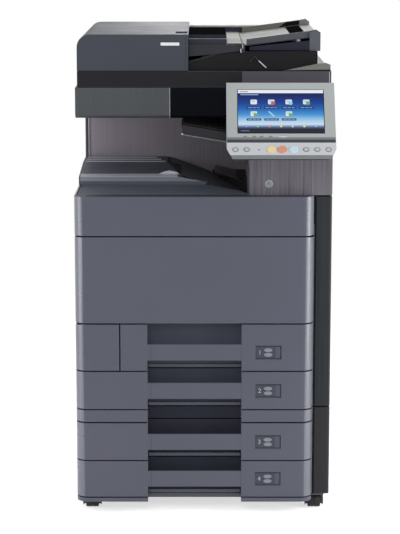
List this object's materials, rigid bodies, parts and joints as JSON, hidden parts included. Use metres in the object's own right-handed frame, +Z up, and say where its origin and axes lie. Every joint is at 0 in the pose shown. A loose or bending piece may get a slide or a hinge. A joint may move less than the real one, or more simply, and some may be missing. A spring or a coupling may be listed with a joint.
{
  "type": "photocopier",
  "caption": "Floor-standing office copier with a lifting document feeder, in-body sheet exit, tilting touch panel, hinged covers and pull-out paper cassettes on castors.",
  "frame": {"origin": "centre of the footprint's bounding box, on the floor", "axes": "+Z up, +X to the right seen from the front, -Y is the front that the cassettes pull out towards"},
  "size_m": [0.602, 0.7638, 1.1417],
  "materials": {
    "slate_cover": "fine-textured moulded cover",
    "charcoal_cover": "satin moulded cover",
    "black_plastic": "satin black",
    "brushed_umber": "brushed-look cover",
    "panel_silver": "silver-grey moulding",
    "base_steel": "painted sheet steel",
    "frame_steel": "zinc-coated sheet steel",
    "bracket_steel": "painted bracket",
    "platen_glass": "clear",
    "screen_glass": "glossy touchscreen",
    "wheel_rubber": "moulded",
    "white_film": "matt white",
    "key_white": "satin key cap",
    "key_amber": "translucent key cap",
    "key_coral": "translucent key cap",
    "key_aqua": "translucent key cap",
    "toner_yellow": "moulded bottle",
    "toner_cyan": "moulded bottle",
    "toner_magenta": "moulded bottle",
    "toner_black": "moulded bottle"
  },
  "bodies": {
    "cabinet": {"base_frame": "base_steel", "main_frame": "frame_steel", "left_cover": "slate_cover", "rear_cover": "charcoal_cover", "top_front_cover": "slate_cover", "engine_band": "slate_cover", "exit_tray": "black_plastic", "inner_back_panel": "brushed_umber", "right_column": "brushed_umber", "separator_tray": "black_plastic", "scanner_housing": "charcoal_cover", "platen_glass": "platen_glass", "panel_bracket": "bracket_steel", "toner_bottle_yellow": "toner_yellow", "toner_bottle_cyan": "toner_cyan", "toner_bottle_magenta": "toner_magenta", "toner_bottle_black": "toner_black", "transfer_belt_unit": "black_plastic", "laser_unit": "black_plastic", "fuser_unit": "black_plastic"},
    "castor_wheel_front_left": {"castor_wheel_front_left": "wheel_rubber"},
    "castor_wheel_front_right": {"castor_wheel_front_right": "wheel_rubber"},
    "castor_wheel_rear_left": {"castor_wheel_rear_left": "wheel_rubber"},
    "castor_wheel_rear_right": {"castor_wheel_rear_right": "wheel_rubber"},
    "cassette_1": {"cassette_1_front": "slate_cover", "cassette_1_tray": "charcoal_cover"},
    "lift_plate_1": {"cassette_1_lift_plate": "frame_steel"},
    "cassette_2": {"cassette_2_front": "slate_cover", "cassette_2_tray": "charcoal_cover"},
    "lift_plate_2": {"cassette_2_lift_plate": "frame_steel"},
    "cassette_3": {"cassette_3_front": "slate_cover", "cassette_3_tray": "charcoal_cover"},
    "lift_plate_3": {"cassette_3_lift_plate": "frame_steel"},
    "cassette_4": {"cassette_4_front": "slate_cover", "cassette_4_tray": "charcoal_cover"},
    "lift_plate_4": {"cassette_4_lift_plate": "frame_steel"},
    "waste_toner_door": {"waste_toner_door": "slate_cover"},
    "front_cover": {"front_cover": "slate_cover"},
    "right_lower_cover": {"right_lower_cover": "charcoal_cover"},
    "right_upper_cover": {"right_upper_cover": "charcoal_cover"},
    "bypass_tray": {"bypass_tray": "charcoal_cover"},
    "scan_carriage": {"scan_carriage": "black_plastic"},
    "feeder": {"feeder_base": "charcoal_cover", "platen_backing": "white_film", "feeder_frame": "slate_cover", "feeder_output_tray": "black_plastic"},
    "feeder_cover": {"feeder_cover": "slate_cover"},
    "feeder_input_tray": {"feeder_input_tray": "charcoal_cover"},
    "feeder_roller": {"feeder_roller": "wheel_rubber"},
    "panel": {"panel_housing": "panel_silver", "panel_screen": "screen_glass"},
    "key_home": {"key_home": "key_white"},
    "key_status": {"key_status": "key_white"},
    "key_reset": {"key_reset": "key_amber"},
    "key_stop": {"key_stop": "key_coral"},
    "key_start": {"key_start": "key_aqua"},
    "key_interrupt": {"key_interrupt": "key_white"},
    "key_counter": {"key_counter": "key_white"},
    "key_sleep": {"key_sleep": "key_white"},
    "power_key": {"power_key": "panel_silver"}
  },
  "joints": [
    {"name": "castor_spin_front_left", "type": "hinge", "parent": "cabinet", "child": "castor_wheel_front_left", "pos_m": [-0.267, -0.22112, 0.0165], "axis": [1, 0, 0], "continuous": true},
    {"name": "castor_spin_front_right", "type": "hinge", "parent": "cabinet", "child": "castor_wheel_front_right", "pos_m": [0.267, -0.22112, 0.0165], "axis": [1, 0, 0], "continuous": true},
    {"name": "castor_spin_rear_left", "type": "hinge", "parent": "cabinet", "child": "castor_wheel_rear_left", "pos_m": [-0.267, 0.31688, 0.0165], "axis": [1, 0, 0], "continuous": true},
    {"name": "castor_spin_rear_right", "type": "hinge", "parent": "cabinet", "child": "castor_wheel_rear_right", "pos_m": [0.267, 0.31688, 0.0165], "axis": [1, 0, 0], "continuous": true},
    {"name": "cassette_1_slide", "type": "slide", "parent": "cabinet", "child": "cassette_1", "axis": [0, -1, 0], "range_m": [0, 0.42]},
    {"name": "lift_plate_1_hinge", "type": "hinge", "parent": "cassette_1", "child": "lift_plate_1", "pos_m": [-0.091, 0.01968, 0.3572], "axis": [0, -1, 0], "range_deg": [0, 9]},
    {"name": "cassette_2_slide", "type": "slide", "parent": "cabinet", "child": "cassette_2", "axis": [0, -1, 0], "range_m": [0, 0.42]},
    {"name": "lift_plate_2_hinge", "type": "hinge", "parent": "cassette_2", "child": "lift_plate_2", "pos_m": [-0.1907, 0.01968, 0.2643], "axis": [0, -1, 0], "range_deg": [0, 7]},
    {"name": "cassette_3_slide", "type": "slide", "parent": "cabinet", "child": "cassette_3", "axis": [0, -1, 0], "range_m": [0, 0.42]},
    {"name": "lift_plate_3_hinge", "type": "hinge", "parent": "cassette_3", "child": "lift_plate_3", "pos_m": [-0.1907, 0.01968, 0.1399], "axis": [0, -1, 0], "range_deg": [0, 7]},
    {"name": "cassette_4_slide", "type": "slide", "parent": "cabinet", "child": "cassette_4", "axis": [0, -1, 0], "range_m": [0, 0.42]},
    {"name": "lift_plate_4_hinge", "type": "hinge", "parent": "cassette_4", "child": "lift_plate_4", "pos_m": [-0.1907, 0.01968, 0.0495], "axis": [0, -1, 0], "range_deg": [0, 7]},
    {"name": "waste_toner_door_hinge", "type": "hinge", "parent": "cabinet", "child": "waste_toner_door", "pos_m": [-0.301, -0.28312, 0.3502], "axis": [1, 0, 0], "range_deg": [0, 90]},
    {"name": "front_cover_hinge", "type": "hinge", "parent": "cabinet", "child": "front_cover", "pos_m": [0, -0.28312, 0.4641], "axis": [1, 0, 0], "range_deg": [0, 90]},
    {"name": "right_lower_cover_hinge", "type": "hinge", "parent": "cabinet", "child": "right_lower_cover", "pos_m": [0.301, 0.31958, 0.14765], "axis": [0, 0, 1], "range_deg": [0, 60]},
    {"name": "right_upper_cover_hinge", "type": "hinge", "parent": "cabinet", "child": "right_upper_cover", "pos_m": [0.301, 0.31958, 0.50865], "axis": [0, 0, 1], "range_deg": [0, 60]},
    {"name": "bypass_tray_hinge", "type": "hinge", "parent": "right_upper_cover", "child": "bypass_tray", "pos_m": [0.3004, 0.03688, 0.3314], "axis": [0, 1, 0], "range_deg": [0, 75]},
    {"name": "scan_carriage_slide", "type": "slide", "parent": "cabinet", "child": "scan_carriage", "axis": [1, 0, 0], "range_m": [0, 0.42]},
    {"name": "feeder_hinge", "type": "hinge", "parent": "cabinet", "child": "feeder", "pos_m": [0, 0.37188, 1.0086], "axis": [-1, 0, 0], "range_deg": [0, 65]},
    {"name": "feeder_cover_hinge", "type": "hinge", "parent": "feeder", "child": "feeder_cover", "pos_m": [-0.296, 0.09438, 1.0526], "axis": [0, -1, 0], "range_deg": [0, 75]},
    {"name": "feeder_input_tray_hinge", "type": "hinge", "parent": "feeder", "child": "feeder_input_tray", "pos_m": [0.095, 0.09438, 1.1043], "axis": [0, -1, 0], "range_deg": [0, 30]},
    {"name": "feeder_roller_spin", "type": "hinge", "parent": "feeder", "child": "feeder_roller", "pos_m": [-0.065, 0.09438, 1.118], "axis": [0, 1, 0], "continuous": true},
    {"name": "panel_tilt", "type": "hinge", "parent": "cabinet", "child": "panel", "pos_m": [0.18, -0.31615, 0.92238], "axis": [1, 0, 0], "range_deg": [-30, 25]},
    {"name": "key_home_press", "type": "slide", "parent": "panel", "child": "key_home", "axis": [0, 0.6947, -0.7193], "range_m": [0, 0.0015], "stiffness_N_per_m": 300},
    {"name": "key_status_press", "type": "slide", "parent": "panel", "child": "key_status", "axis": [0, 0.6947, -0.7193], "range_m": [0, 0.0015], "stiffness_N_per_m": 300},
    {"name": "key_reset_press", "type": "slide", "parent": "panel", "child": "key_reset", "axis": [0, 0.6947, -0.7193], "range_m": [0, 0.0015], "stiffness_N_per_m": 300},
    {"name": "key_stop_press", "type": "slide", "parent": "panel", "child": "key_stop", "axis": [0, 0.6947, -0.7193], "range_m": [0, 0.0015], "stiffness_N_per_m": 300},
    {"name": "key_start_press", "type": "slide", "parent": "panel", "child": "key_start", "axis": [0, 0.6947, -0.7193], "range_m": [0, 0.0015], "stiffness_N_per_m": 300},
    {"name": "key_interrupt_press", "type": "slide", "parent": "panel", "child": "key_interrupt", "axis": [0, 0.6947, -0.7193], "range_m": [0, 0.0015], "stiffness_N_per_m": 300},
    {"name": "key_counter_press", "type": "slide", "parent": "panel", "child": "key_counter", "axis": [0, 0.6947, -0.7193], "range_m": [0, 0.0015], "stiffness_N_per_m": 300},
    {"name": "key_sleep_press", "type": "slide", "parent": "panel", "child": "key_sleep", "axis": [0, 0.6947, -0.7193], "range_m": [0, 0.0015], "stiffness_N_per_m": 300},
    {"name": "power_key_press", "type": "slide", "parent": "cabinet", "child": "power_key", "axis": [0, 1, 0], "range_m": [0, 0.002], "stiffness_N_per_m": 300}
  ]
}
